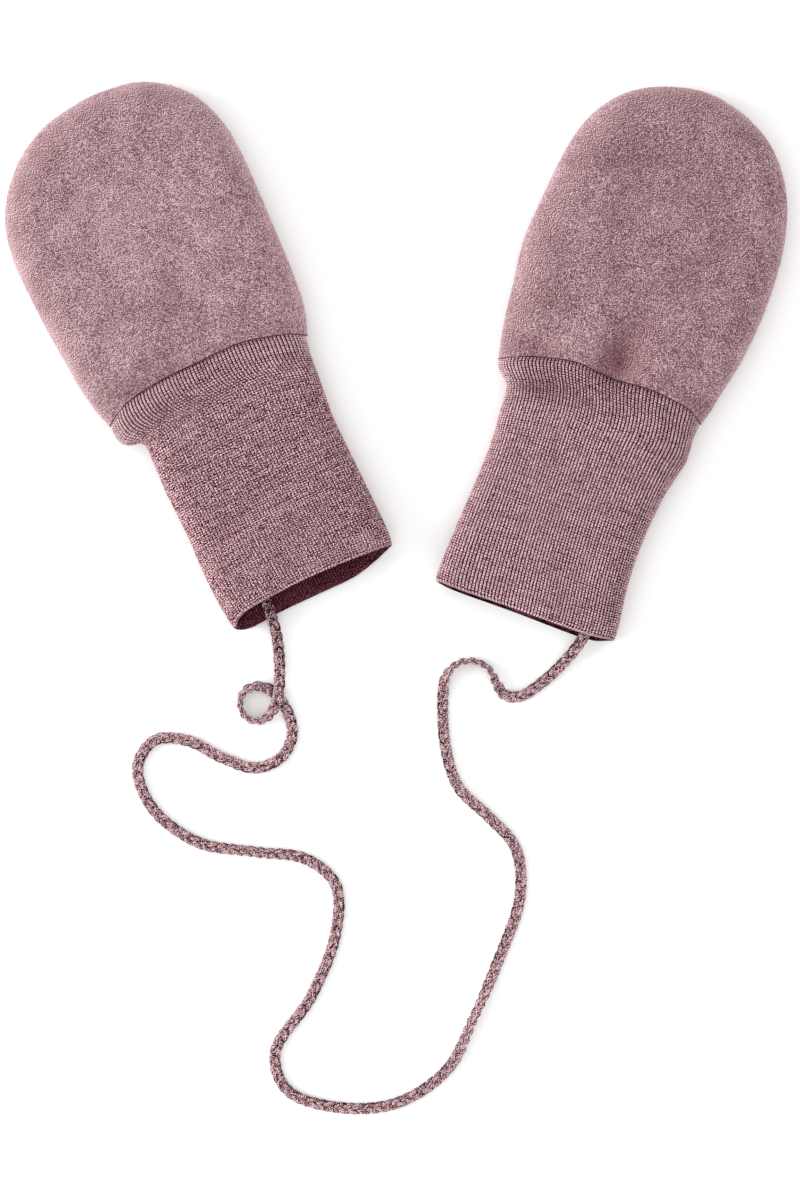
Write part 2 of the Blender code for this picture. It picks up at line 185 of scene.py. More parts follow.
LEFT = Mitten(
    name="left",
    place=(-27.1, -72.1),
    turn=26.0,
    lean=1.5,
    ribbing=0.3,
    shade=-0.035,
    hand=(
        Row(76.0, -35.4, 34.1, 13.2),
        Row(80.0, -36.6, 35.7, 14.4),
        Row(87.0, -38.0, 37.7, 15.3),
        Row(98.0, -39.0, 38.9, 15.7),
        Row(110.0, -39.8, 39.7, 15.8),
        Row(122.0, -40.1, 40.4, 15.8),
        Row(134.0, -39.8, 40.7, 15.7),
        Row(144.0, -38.2, 40.1, 15.5),
        Row(152.0, -34.7, 38.1, 15.3),
        Row(159.0, -29.1, 34.4, 15.2),
        Row(165.0, -22.0, 28.7, 15.2),
        Row(169.5, -12.8, 20.9, 15.2),
        Row(171.4, -3.6, 12.4, 15.2),
    ),
    tip=(4.4, 172.0),
    cuff=(
        Row(0.0, -27.9, 29.2, 11.2),
        Row(6.0, -28.6, 29.9, 11.5),
        Row(18.0, -29.0, 30.0, 11.6),
        Row(32.0, -28.4, 30.0, 11.4),
        Row(46.0, -28.5, 30.1, 11.5),
        Row(55.0, -28.0, 31.0, 11.7),
        Row(62.5, -28.0, 31.8, 12.0),
        Row(65.7, -31.8, 32.0, 12.4),
        Row(69.0, -34.4, 32.4, 12.8),
        Row(73.0, -35.2, 33.0, 12.9),
        Row(76.0, -34.9, 33.4, 12.3),
    ),
    seam=(
        Seam(-36.0, 74.2),
        Seam(-27.0, 78.4),
        Seam(-14.0, 80.2),
        Seam(0.0, 80.2),
        Seam(14.0, 79.8),
        Seam(27.0, 76.4),
        Seam(35.0, 72.6),
    ),
    mouth=(
        Mouth(-28.0, 0.9, -2.8),
        Mouth(-22.0, 2.3, -3.4),
        Mouth(-12.0, 3.0, -2.9),
        Mouth(2.0, 3.1, -3.1),
        Mouth(15.0, 2.4, -3.1),
        Mouth(28.0, 1.2, 0.2),
    ),
    folds=(
        Fold(-21.0, 84.0, 16.0, 3.5, 1.6, 8.0),
        Fold(24.0, 77.5, 7.0, 4.0, 1.4, -12.0),
        Fold(4.0, 98.0, 6.0, 18.0, 1.1, 0.0),
        Fold(-24.0, 97.0, 13.0, 5.0, 0.8, 24.0),
        Fold(-10.0, 30.0, 15.0, 3.0, 1.0, 14.0),
        Fold(-15.0, 70.0, 12.0, 3.5, 0.9, 4.0),
        Fold(-12.0, 80.8, 15.0, 1.8, 1.5, 2.0),
        Fold(27.5, 66.8, 3.5, 3.0, 1.8, 0.0),
        Fold(-4.0, 35.8, 13.0, 1.8, 0.7, 4.0),
        Fold(5.5, 19.5, 6.0, 2.2, 0.6, 0.0),
        Fold(3.0, 102.0, 14.0, 4.0, 0.7, 64.0),
        Fold(4.4, 158.2, 5.0, 3.0, 0.7, 20.0),
        Fold(-13.9, 144.0, 5.0, 3.0, 0.7, 30.0),
        Fold(-17.1, 130.2, 6.0, 3.0, 0.6, -10.0),
        Fold(-15.0, 102.7, 13.0, 2.2, 0.6, 2.0),
    ),
)

RIGHT = Mitten(
    name="right",
    place=(42.7, -78.5),
    turn=-20.0,
    lean=4.5,
    ribbing=1.0,
    shade=0.06,
    hand=(
        Row(75.0, -36.4, 31.5, 13.2),
        Row(79.0, -37.3, 32.6, 14.4),
        Row(86.0, -38.7, 34.2, 15.3),
        Row(98.0, -40.3, 36.8, 15.7),
        Row(110.0, -41.9, 38.2, 15.8),
        Row(122.0, -41.2, 38.3, 15.8),
        Row(134.0, -40.0, 37.4, 15.7),
        Row(144.0, -38.7, 35.2, 15.5),
        Row(152.0, -36.4, 32.1, 15.3),
        Row(159.5, -32.4, 27.4, 15.2),
        Row(166.0, -26.1, 20.9, 15.2),
        Row(170.6, -18.1, 12.8, 15.2),
        Row(173.3, -9.0, 4.0, 15.2),
    ),
    tip=(-2.5, 174.0),
    cuff=(
        Row(0.0, -31.2, 29.2, 10.9),
        Row(6.0, -31.4, 28.8, 11.5),
        Row(18.0, -30.9, 27.2, 11.6),
        Row(32.0, -30.0, 26.9, 11.4),
        Row(46.0, -29.6, 28.1, 11.5),
        Row(55.0, -30.2, 29.8, 11.7),
        Row(61.0, -30.5, 31.2, 12.0),
        Row(66.0, -31.4, 31.1, 12.4),
        Row(70.0, -34.1, 30.8, 12.8),
        Row(73.0, -35.9, 30.9, 12.9),
        Row(75.0, -36.2, 31.0, 12.3),
    ),
    seam=(
        Seam(-37.0, 71.0),
        Seam(-26.0, 75.6),
        Seam(-13.0, 78.3),
        Seam(0.0, 77.6),
        Seam(13.0, 78.2),
        Seam(25.0, 76.8),
        Seam(32.0, 73.4),
    ),
    mouth=(
        Mouth(-31.0, -2.0, -2.7),
        Mouth(-23.0, -2.4, -3.3),
        Mouth(-5.0, -2.1, -3.2),
        Mouth(13.0, -2.1, -3.5),
        Mouth(22.0, -1.8, -3.3),
        Mouth(28.0, -0.9, -1.4),
    ),
    folds=(
        Fold(0.4, 82.6, 6.2, 6.5, 4.2, -14.0),
        Fold(1.0, 95.0, 4.4, 11.0, 1.6, -16.0),
        Fold(8.0, 85.5, 8.0, 3.0, 1.0, -10.0),
        Fold(-30.0, 79.0, 7.0, 4.5, 2.0, 6.0),
        Fold(27.0, 80.0, 8.0, 4.0, 1.6, -14.0),
        Fold(-22.0, 66.5, 13.0, 4.0, 1.8, 8.0),
        Fold(24.0, 66.0, 4.0, 8.0, 1.0, 8.0),
        Fold(-23.2, 78.5, 6.0, 3.0, 1.6, 0.0),
        Fold(-24.0, 67.0, 12.0, 2.4, 1.3, 2.0),
        Fold(12.0, 120.0, 16.0, 4.0, 0.6, 40.0),
        Fold(-15.0, 135.0, 12.0, 4.0, 0.6, 70.0),
        Fold(-5.0, 142.0, 17.0, 24.0, 0.7, 0.0),
        Fold(-14.0, 71.0, 9.0, 3.5, 1.2, 8.0),
        Fold(-20.0, 72.5, 8.0, 3.0, 0.9, 8.0),
        Fold(23.0, 72.0, 6.0, 3.0, 1.1, 0.0),
        Fold(-6.0, 67.0, 8.0, 3.0, 0.8, 4.0),
    ),
)

# The cord's route, from inside the left cuff to inside the right one: across, along, how far it is
# lifted off the surface, and how far the flat plait is rolled on its edge. It crosses over itself
# once, in the loop.
IN_CUFF = CUFF_WALL + SEAM_GAP
CROSSING = CORD_THICKNESS + 0.2
CORD_ROUTE = (
    (-45.8, -67.0, IN_CUFF, 0),
    (-41.7, -76.3, IN_CUFF, 0),
    (-39.8, -81.8, IN_CUFF, 0),
    (-38.3, -87.4, 1.2, 0),
    (-37.6, -93.6, 0.0, 0),
    (-37.3, -100.0, 1.2, 0),
    (-37.7, -106.0, CROSSING, 0),
    (-39.5, -111.6, 1.9, 25),
    (-43.4, -115.0, 0.3, 60),
    (-47.8, -114.1, 0.0, 72),
    (-50.0, -110.2, 0.0, 80),
    (-48.9, -105.8, 0.0, 60),
    (-45.0, -103.8, 0.0, 45),
    (-40.6, -105.0, 0.0, 0),
    (-36.9, -108.6, 0.0, 0),
    (-34.2, -113.6, 0.0, 0),
    (-33.3, -119.6, 0.0, 0),
    (-36.6, -126.4, 0.0, 0),
    (-45.0, -130.1, 0.0, 0),
    (-55.4, -127.0, 0.0, 0),
    (-67.0, -121.3, 0.0, 0),
    (-77.4, -121.2, 0.0, 0),
    (-82.9, -129.6, 0.0, 0),
    (-78.2, -143.0, 0.0, 0),
    (-63.5, -154.0, 0.0, 0),
    (-45.1, -157.0, 0.0, 30),
    (-28.8, -159.4, 0.0, 0),
    (-19.4, -167.6, 0.0, 0),
    (-19.4, -183.4, 0.0, 0),
    (-27.2, -203.4, 0.0, 0),
    (-38.8, -221.6, 0.0, 0),
    (-35.0, -233.4, 0.0, 0),
    (-19.1, -239.0, 0.0, 0),
    (0.3, -237.6, 0.0, 0),
    (16.5, -226.8, 0.0, 0),
    (25.0, -210.0, 0.0, 50),
    (32.4, -193.0, 0.0, 0),
    (39.8, -171.4, 0.0, 0),
    (38.4, -155.8, 0.0, 0),
    (30.0, -146.0, 0.0, 0),
    (20.2, -136.4, 0.0, 0),
    (16.0, -124.0, 0.0, 0),
    (15.1, -106.0, 0.0, 0),
    (16.2, -100.2, 0.0, 55),
    (20.0, -96.4, 0.0, 75),
    (25.2, -95.8, 0.0, 78),
    (29.6, -98.0, 0.0, 78),
    (32.0, -102.4, 0.0, 50),
    (34.8, -106.6, 0.0, 0),
    (39.6, -107.2, 0.0, 0),
    (47.2, -102.4, 0.0, 0),
    (55.6, -94.2, 1.0, 0),
    (60.2, -87.8, IN_CUFF, 0),
    (62.4, -82.4, IN_CUFF, 0),
    (65.0, -75.4, IN_CUFF, 0),
)

# Colours of the cloth, dark to light in equal steps, as red, green and blue out of 255. A fold takes
# on FOLD_SHARE of the fold tone a millimetre of depth, as painted shade. So do patches where a noise
# passes the first value of BLUSH, at the rate of its second.
FLEECE_TONES = ((90, 58, 63), (128, 97, 101), (163, 134, 138), (208, 180, 184))
KNIT_TONES = ((46, 2, 14), (98, 50, 60), (147, 108, 114), (228, 194, 199))
# The inside is plum and drawn darker still as painted shade; the back lip of the mouth takes it too.
LINING_AND_SHADE_TONES = ((24, 2, 8), (50, 16, 26), (78, 38, 48), (108, 62, 72))
CORD_TONES = ((44, 10, 16), (98, 64, 70), (149, 116, 121), (212, 180, 185))
FOLD_SHADE_TONE = (92, 40, 52)
FOLD_SHARE = 0.12
BLUSH = (0.57, 1.3)
FLOOR_TONE = (252, 252, 252)

# Gloss and sheen of the cloth.
CLOTH_ROUGHNESS = 0.95
CLOTH_GLOSS = 0.03
SHEEN_TONE = (255, 205, 215)
SHEEN_ROUGHNESS = 0.5
FLEECE_SHEEN = 0.15

# Sizes of the textures. A cuff's yarn keeps its tone for a long way round a course.
FIBRE_SIZE = 0.36
GRAIN_STEP = (0.28, -0.26, 0.2)
PATCH_SIZE = 5.0
FLEECE_CLOUD_SIZE = 12.0
KNIT_CLOUD_SIZE = 14.0
CORD_CLOUD_SIZE = 6.0
YARN_STRETCH = (0.03, 1.0, 0.0)

# The tone of a cloth goes from 0, the first of its colours, to 1, the last. Each has a middle, and
# then the weights of its textures and of the values that its points carry.
FLEECE_MIDDLE = 0.42
FLEECE_TEXTURES = {"curls": 1.65, "clouds": 0.5}
# bend paints sheen on the rolled sides; relief paints shade on low grain, and is a random tone in tufts.
FLEECE_LAYERS = {"bend": 0.35, "shade": -1.0, "relief": 0.1}
KNIT_MIDDLE = 0.477
KNIT_TEXTURES = {"streaks": 0.6, "fibres": 2.2, "clouds": 0.15}
# relief, loop and crown paint shade: darker between the ribs and at the foot of each stitch.
KNIT_LAYERS = {"relief": 2.5, "loop": 0.8, "crown": 5.0, "shade": -1.6}
CORD_MIDDLE = 1.07
# relief is each yarn's random tone, less painted shade in its grooves and the darker left end.
CORD_TEXTURES = {"relief": 0.9, "plies": 3.4, "clouds": 0.3}

# How the fibres stand out of a cloth: the strength, and the height in millimetres.
FLEECE_BUMP = (0.4, 0.4)
YARN_BUMP = (0.6, 0.2)

# The camera looks straight down. It sees FRAME_HEIGHT at the height of the side seams.
FRAME_MIDDLE = (1.28, -76.2)
FRAME_HEIGHT = 384.0
LENS = 150.0
SENSOR = 36.0

# Studio: an even dome of light, and a soft low key from the left, in degrees. The floor is
# FLOOR_SIZE metres across and lies FLOOR_DROP below the surface that the part rests on.
DOME_STRENGTH = 1.15
KEY_STRENGTH = 2.4
KEY_SOFTNESS = 30.0
KEY_HEIGHT = 18.0
KEY_FROM = 180.0
FLOOR_SIZE = 6.0
FLOOR_DROP = 0.1

SEED = 7


def smooth_curve(points, steps, power=0.0):
    """Reads a smooth curve through the points, in so many steps a gap. A power of 0.5 keeps it from
    overshooting where the gaps are unlike."""
    points = np.asarray(points, float)
    gaps = np.linalg.norm(np.diff(points, axis=0), axis=1)[:, None] ** power
    speeds = np.diff(points, axis=0) / gaps
    within = (speeds[:-1] * gaps[1:] + speeds[1:] * gaps[:-1]) / (gaps[:-1] + gaps[1:])
    slopes = np.vstack((speeds[:1], within, speeds[-1:]))
    t = np.arange(steps)[:, None] / steps
    curve = []
    for start, end, leaving, arriving, gap in zip(points, points[1:], slopes, slopes[1:], gaps):
        bend = t * (1 - t) * gap * ((1 - t) * leaving - t * arriving)
        ease = t * t * (3 - 2 * t)
        curve.append(start + (end - start) * ease + bend)
    return np.vstack(curve + [points[-1:]])


def read_off(rows, at, column=1):
    """The value at each place, on the smooth curve through a table's first column and another."""
    curve = smooth_curve([(row[0], row[column]) for row in rows], TABLE_STEPS)
    return np.interp(at, curve[:, 0], curve[:, 1])


def ease(share):
    """0 to 1 with level ends."""
    share = np.clip(share, 0.0, 1.0)
    return share * share * (3 - 2 * share)


def unit(vectors):
    return vectors / np.linalg.norm(vectors, axis=-1, keepdims=True)


def fold_depth(mitten, across, along):
    """How far the folds and dimples press the front of the mitten down."""
    depth = np.zeros_like(across)
    for fold in mitten.folds:
        turn = math.radians(fold.turn)
        x = across - fold.across
        y = along - fold.along
        length = (x * math.cos(turn) + y * math.sin(turn)) / fold.length
        width = (y * math.cos(turn) - x * math.sin(turn)) / fold.width
        depth += fold.depth * np.exp(-length * length - width * width)
    return depth


def seam_shift(mitten, across, along, side, inset):
    """Bends rows near the sewn seam until the last one follows it, half the gap to one side. The
    seam slants through the cloth, so that nothing shows through it."""
    seam_at = mitten.hand[0].along
    near = 1 - ease(np.abs(along - seam_at) / SEAM_REACH)
    aside = side * CUFF_SEAM_GAP / 2 - SEAM_SLANT * inset
    return near * (read_off(mitten.seam, across) + aside - seam_at)


def seam_drop(mitten, along):
    """How far the cloth turns down where it runs into the seam."""
    near = 1 - np.clip(np.abs(along - mitten.hand[0].along) / SEAM_ROUND, 0.0, 1.0)
    return SEAM_ROUND * (1 - np.sqrt(1 - near * near))


def hand_rays(mitten):
    """Points round the outline of a hand and, for each, the point of the middle line that its ray
    runs to. Past the fan row, all rays run to one point."""
    left = [(row.left, row.along) for row in mitten.hand]
    right = [(row.right, row.along) for row in mitten.hand]
    outline = smooth_curve(left + [mitten.tip] + right[::-1], OUTLINE_STEPS)
    middle = (outline + outline[::-1]) / 2
    place = np.arange(len(outline))
    ends = np.minimum(np.minimum(place, place[::-1]), FAN_ROW * OUTLINE_STEPS)
    return outline, middle[ends]


def panel_skin(mitten, front, inset, steps):
    """One skin of a hand panel, a row of points a ray: first the roll at its side, then the rest.
    Each point is (across, along, up, how hollow it lies, which with its turn into the seam sets its
    painted shade)."""
    roll_steps, flat_steps = steps
    outline, middle = hand_rays(mitten)
    roll = HAND_FRONT_ROLL if front else HAND_BACK_ROLL
    turn = np.linspace(0.0, math.pi / 2, roll_steps + 1)
    flat = np.arange(1, flat_steps + 1) / flat_steps
    reach = np.linalg.norm(middle - outline, axis=1)[:, None]
    rolled = (inset + (roll - inset) * (1 - np.cos(turn))) / reach
    level = roll / reach + (1 - roll / reach) * flat
    share = np.hstack((rolled, level))[:, :, None]
    lift = np.concatenate((np.sin(turn), np.ones(flat_steps)))
    dome = np.concatenate((np.zeros(roll_steps + 1), np.sin(flat * math.pi / 2)))
    plan = outline[:, None] * (1 - share) + middle[:, None] * share
    across = plan[:, :, 0]
    along = plan[:, :, 1]
    crown = read_off(mitten.hand, along, column=3) + HAND_DOME * dome - seam_drop(mitten, along)
    along = along + seam_shift(mitten, across, along, 1, inset)
    hollow = fold_depth(mitten, across, along) * front
    # Painted shade: the folds and the turn into the seam darken the colour here.
    painted_shade_depth = hollow + SEAM_TINT * seam_drop(mitten, plan[:, :, 1])
    if front:
        low = SIDE_SEAM_HEIGHT + SEAM_GAP / 2
        height = low + (crown - inset - hollow - low) * lift
    else:
        low = SIDE_SEAM_HEIGHT - SEAM_GAP / 2
        height = np.broadcast_to(low + (inset - low) * lift, across.shape)
    return np.stack((across, along, height, painted_shade_depth), axis=2)


def cuff_section(row, inset, over, under):
    """A loop round a cuff in equal steps: over its sides and front, then back along the flat
    underside. Each point is (across, height)."""
    turn = np.linspace(0.0, math.pi / 2, QUARTER_STEPS + 1)
    low_in = CUFF_BACK_ROLL - (CUFF_BACK_ROLL - inset) * np.sin(turn)
    low_up = CUFF_SIDE_HEIGHT - (CUFF_SIDE_HEIGHT - inset) * np.cos(turn)
    high_in = CUFF_FRONT_ROLL - (CUFF_FRONT_ROLL - inset) * np.cos(turn)
    high_up = CUFF_SIDE_HEIGHT + (row.height - inset - CUFF_SIDE_HEIGHT) * np.sin(turn)
    side_in = np.concatenate((low_in, high_in[1:]))
    side_up = np.concatenate((low_up, high_up[1:]))
    share = np.arange(1, 2 * QUARTER_STEPS) / (2 * QUARTER_STEPS)
    left = row.left + CUFF_FRONT_ROLL
    right = row.right - CUFF_FRONT_ROLL
    top_across = left + (right - left) * share
    top_up = side_up[-1] + CUFF_DOME * np.sin(share * math.pi)
    across = np.concatenate((row.left + side_in, top_across, (row.right - side_in)[::-1]))
    up = np.concatenate((side_up, top_up, side_up[::-1]))
    walked = np.concatenate(([0.0], np.cumsum(np.hypot(np.diff(across), np.diff(up)))))
    stops = walked[-1] * over
    across = np.interp(stops, walked, across)
    up = np.interp(stops, walked, up)
    back = np.arange(1, under) / under
    across = np.concatenate((across, across[-1] + (across[0] - across[-1]) * back))
    up = np.concatenate((up, np.full(under - 1, inset)))
    return np.column_stack((across, up))


def stitch_columns(course):
    """Where the points of each rib lie round a cuff, as shares of the way over it, how high each
    stands in its stitch, the same for the points below, and how high the stitch stands here."""
    step = course % 1.0
    spread = LEGS_START + LEGS_SPREAD * step
    loop = LEG_HEIGHTS[0] + LEG_HEIGHTS[1] * math.sin(math.pi * step)
    places = np.array((0.0, 0.5 - spread, 0.5, 0.5 + spread))
    over = (np.arange(RIBS)[:, None] + places).ravel() / RIBS
    heights = np.tile((0.0, 1.0, LEG_MIDDLE, 1.0), RIBS)
    below = np.full(UNDERSIDE_STEPS - 1, HALF_UP)
    return np.append(over, 1.0), np.append(heights, 0.0), below, loop


def plain_columns():
    """The same for the inside of a cuff, where the ribs are even and are drawn only by painted shade in
    their tone.
    """
    steps = np.arange(2 * RIBS + 1)
    heights = RIB_MIDDLE + INSIDE_RIB_HEIGHT * (steps % 2 - 0.5)
    return steps / (2 * RIBS), heights, heights[1 : 2 * INSIDE_RIBS], LOOP_MIDDLE


def raise_stitches(section, heights, size):
    """Moves the points of a section out by their heights. The knit fades out where it lies down."""
    ahead = np.roll(section, -1, axis=0) - np.roll(section, 1, axis=0)
    outward = unit(np.column_stack((-ahead[:, 1], ahead[:, 0])))
    shown = ease((section[:, 1] - RIBS_START) / (RIBS_FULL - RIBS_START))
    return section + outward * (size * (heights - HALF_UP) * shown)[:, None]


def cuff_ring(mitten, row, inset, columns, outer=True):
    """One loop of a cuff's skin, bent to follow the mouth or the seam where it is near one. Each
    point is (across, along, up) and then the knit's values."""
    over, heights, below, loop = columns
    under = len(below) + 1
    legs = 2 * RIBS * np.append(over, 1.0 + np.arange(1, under) / under)
    leaning = math.radians(mitten.lean) * (row.along - LEAN_MIDDLE)
    leaning /= WAY_OVER * (row.right - row.left)
    over = over - leaning * np.sin(math.pi * over)
    section = cuff_section(row, inset, over, under)
    relief = np.concatenate((heights, below))
    near = (mitten.hand[0].along - row.along) / STRETCH_REACH
    stretched = math.exp(-near * near)
    if outer:
        size = STITCH_HEIGHT * (1 + STRETCH_MORE * stretched)
        section = raise_stitches(section, relief * loop, size)
    across, up = section.T
    along = np.full(len(across), row.along)
    aside = 2 * np.abs(across) / (row.right - row.left)
    at_seam = np.interp(aside, (0.0, 1.0), SEAM_RIBBING)
    relief = (relief - RIB_MIDDLE) * (mitten.ribbing + (at_seam - mitten.ribbing) * stretched)
    front = ease(up / row.height)
    edge = read_off(mitten.mouth, across) * front + read_off(mitten.mouth, across, 2) * (1 - front)
    shift = seam_shift(mitten, across, along, -1, inset) + edge * (1 - ease(along / MOUTH_REACH))
    pressed = np.clip((up - CUFF_SIDE_HEIGHT) / (row.height - CUFF_SIDE_HEIGHT), 0.0, 1.0)
    hollow = fold_depth(mitten, across, along + shift) * pressed
    drop = seam_drop(mitten, along) * pressed
    up = up - hollow - drop
    # Painted shade: the folds and the turn into the seam darken the colour here.
    painted_shade_depth = hollow + SEAM_TINT * drop
    course = along * COURSES / mitten.cuff[-1].along
    loops = np.full(len(along), loop - LOOP_MIDDLE)
    crowns = relief * loops
    return np.column_stack((across, along + shift, up, painted_shade_depth, relief, loops, crowns, legs, course))


def cuff_rows(mitten, steps):
    """The cuff's width and height in equal steps, from the fold of its mouth to the seam."""
    along = np.linspace(CUFF_WALL / 2, mitten.cuff[-1].along, steps + 1)
    sides = [read_off(mitten.cuff, along, column) for column in (1, 2, 3)]
    return [Row(*values) for values in zip(along, *sides)]


def to_world(mitten, points):
    """From a mitten's frame in millimetres to the row's frame in metres."""
    turn = math.radians(mitten.turn)
    x, y, z = np.moveaxis(points[..., :3], -1, 0)
    east = mitten.place[0] + x * math.cos(turn) - y * math.sin(turn)
    north = mitten.place[1] + x * math.sin(turn) + y * math.cos(turn)
    return np.stack((east, north, z), axis=-1) * MM


def grid_faces(start, rows, columns, closed):
    """Faces of a grid of points whose rows are loops where closed."""
    index = start + np.arange(rows * columns).reshape(rows, columns)
    if closed:
        index = np.hstack((index, index[:, :1]))
    corners = (index[:-1, :-1], index[:-1, 1:], index[1:, 1:], index[1:, :-1])
    return np.stack(corners, axis=-1).reshape(-1, 4)


def new_mesh(name, points, faces, **attributes):
    """A mesh with a named value at each of its points."""
    data = bpy.data.meshes.new(name)
    data.from_pydata(points.tolist(), [], faces.tolist())
    for attribute, values in attributes.items():
        layer = data.attributes.new(attribute, "FLOAT", "POINT")
        layer.data.foreach_set("value", np.asarray(values, np.float32))
    return data


def zip_rows(mesh, first, second):
    """Closes the band between two rows of unlike counts, always by the shorter diagonal."""
    i = 0
    j = 0
    while i < len(first) - 1 or j < len(second) - 1:
        if j == len(second) - 1:
            step_first = True
        elif i == len(first) - 1:
            step_first = False
        else:
            one = (first[i + 1].co - second[j].co).length
            other = (first[i].co - second[j + 1].co).length
            step_first = one <= other
        if step_first:
            mesh.faces.new((first[i], first[i + 1], second[j]))
            i += 1
        else:
            mesh.faces.new((first[i], second[j + 1], second[j]))
            j += 1


def shell_mesh(name, skins, bands, closed, **attributes):
    """A closed shell from its outer and its inner skin, which are grids of points in metres. Each
    band joins a row of numbered points of the one to a row of the other."""
    points = np.vstack([skin.reshape(-1, 3) for skin in skins])
    faces = []
    start = 0
    for skin in skins:
        faces.append(grid_faces(start, skin.shape[0], skin.shape[1], closed))
        start += skin.shape[0] * skin.shape[1]
    data = new_mesh(name, points, np.vstack(faces), **attributes)
    mesh = bmesh.new()
    mesh.from_mesh(data)
    mesh.verts.ensure_lookup_table()
    for first, second in bands:
        zip_rows(mesh, [mesh.verts[i] for i in first], [mesh.verts[i] for i in second])
    bmesh.ops.remove_doubles(mesh, verts=mesh.verts, dist=MERGE_DISTANCE * MM)
    bmesh.ops.recalc_face_normals(mesh, faces=mesh.faces)
    mesh.to_mesh(data)
    mesh.free()
    data.shade_smooth()
    return data


def read_layer(layer, field, width=1):
    """A mesh layer's values as an array."""
    values = np.empty(len(layer) * width, np.float32)
    layer.foreach_get(field, values)
    return values.reshape(-1, width) if width > 1 else values


def add_piece(name, data, material, slot, *nodes):
    """Links a mesh as a piece that rides on the part and stands for its solids."""
    data.materials.append(material)
    piece = bpy.data.objects.new(name, data)
    bpy.context.scene.collection.objects.link(piece)
    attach(piece, "root")
    if nodes:
        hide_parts(*nodes)
    return piece


def raise_pile(data):
    """Pushes the outer skin of a fleece panel in and out, by soft lumps and by the grain of the
    pile. Where the panel lies on the surface it stays flat."""
    points = read_layer(data.vertices, "co", 3).astype(float)
    normals = read_layer(data.vertex_normals, "vector", 3)
    outer = read_layer(data.attributes["nap"].data, "value")
    lumps = np.array([noise.noise(Vector(point)) for point in points / (LUMP_SIZE * MM)])
    grain = np.array([noise.noise(Vector(point)) for point in points / (PILE_SIZE * MM)])
    shown = outer * ease(points[:, 2] / (PILE_CLEAR * MM))
    level = np.abs(normals[:, 2])
    height = (LUMP_HEIGHT * lumps * level + PILE_HEIGHT * grain) * shown * MM
    moved = points + normals * height[:, None]
    data.vertices.foreach_set("co", moved.astype(np.float32).ravel())
    # The grain's height paints the low pile a little darker, as painted shade.
    relief = data.attributes.new("relief", "FLOAT", "POINT")
    relief.data.foreach_set("value", (0.5 + 0.5 * grain).astype(np.float32))
    # The rolled sides, where the normal leaves upright, are painted lighter, as a painted sheen.
    bend = data.attributes.new("bend", "FLOAT", "POINT")
    bend.data.foreach_set("value", ease(1 - level / BEND_START).astype(np.float32))
    data.update()


def pile_roots(data, count, random):
    """Where the tufts stand in the outer skin of a panel, clear of the surface that it lies on:
    their places, the normals there, the ways they slant, their sizes and the depth of their painted
    shade."""
    data.calc_loop_triangles()
    corners = read_layer(data.loop_triangles, "vertices", 3).astype(int)
    points = read_layer(data.vertices, "co", 3).astype(float)
    outer = read_layer(data.attributes["nap"].data, "value")
    corners = corners[outer[corners].min(axis=1) > 0.5]
    corners = corners[points[corners, 2].min(axis=1) > PILE_CLEAR * MM]
    triangles = points[corners]
    normals = np.cross(triangles[:, 1] - triangles[:, 0], triangles[:, 2] - triangles[:, 0])
    areas = np.linalg.norm(normals, axis=1)
    chosen = random.choice(len(areas), size=count, p=areas / areas.sum())
    shares = random.dirichlet((1.0, 1.0, 1.0), size=count)
    place = (triangles[chosen] * shares[:, :, None]).sum(axis=1)
    normal = unit(normals[chosen])
    side = unit(np.cross(normal, random.normal(size=(count, 3))))
    return place, normal, side, np.ones(count), np.zeros(count)


def seam_roots(mitten, skin, count, random):
    """The same for the tufts on the rounded edge of a front panel, which lean over the seam."""
    edge = np.vstack((skin[0, :, :3], skin[-1, ::-1, :3]))
    walked = np.concatenate(([0.0], np.cumsum(np.linalg.norm(np.diff(edge, axis=0), axis=1))))
    at = random.uniform(0.0, walked[-1], count)
    place = np.stack([np.interp(at, walked, column) for column in edge.T], axis=-1)
    turn = np.radians(random.uniform(*SEAM_TUFT_TURN, count))
    level = np.zeros(count)
    normal = np.column_stack((level, -np.cos(turn), np.sin(turn)))
    place = place + SEAM_ROUND * (normal + (0.0, 1.0, 0.0))
    aside = random.normal(0.0, SEAM_TUFT_SPREAD, count)
    side = unit(np.column_stack((aside, level - 1.0, level)))
    start = to_world(mitten, place)
    normal, side = [unit(to_world(mitten, place + way) - start) for way in (normal, side)]
    return start, normal, side, np.full(count, SEAM_TUFT_SIZE), np.full(count, SEAM_TUFT_TINT)


def make_tufts(name, roots, shade, random):
    """A tuft of wool at each root: a spike that slants from the normal to one side."""
    place, normal, side, size, hollow = roots
    count = len(place)
    third = np.cross(normal, side)
    tilt = np.radians(random.uniform(*TUFT_TILT, count))[:, None]
    length = (size * random.uniform(*TUFT_LENGTH, count))[:, None] * MM
    radius = random.uniform(*TUFT_WIDTH, count)[:, None] / 2 * MM
    root = place - normal * TUFT_ROOT * MM
    ring = [
        root + radius * (third * math.cos(turn) + normal * math.sin(turn))
        for turn in np.arange(TUFT_CORNERS) * math.tau / TUFT_CORNERS
    ]
    tip = root + length * (normal * np.cos(tilt) + side * np.sin(tilt))
    points = np.stack(ring + [tip], axis=1).reshape(-1, 3)
    first = np.arange(count)[:, None, None] * (TUFT_CORNERS + 1)
    faces = np.array(((0, 1, 3), (1, 2, 3), (2, 0, 3), (2, 1, 0)))
    relief = np.repeat(random.uniform(0.0, 1.0, count), TUFT_CORNERS + 1)
    # Each tuft has a random tone; those at the seam are darkened with painted shade.
    layers = {"relief": relief, "hollow": np.repeat(hollow, TUFT_CORNERS + 1)}
    layers["shade"] = np.full(len(points), shade)
    return new_mesh(name, points, (first + faces).reshape(-1, 3), **layers)


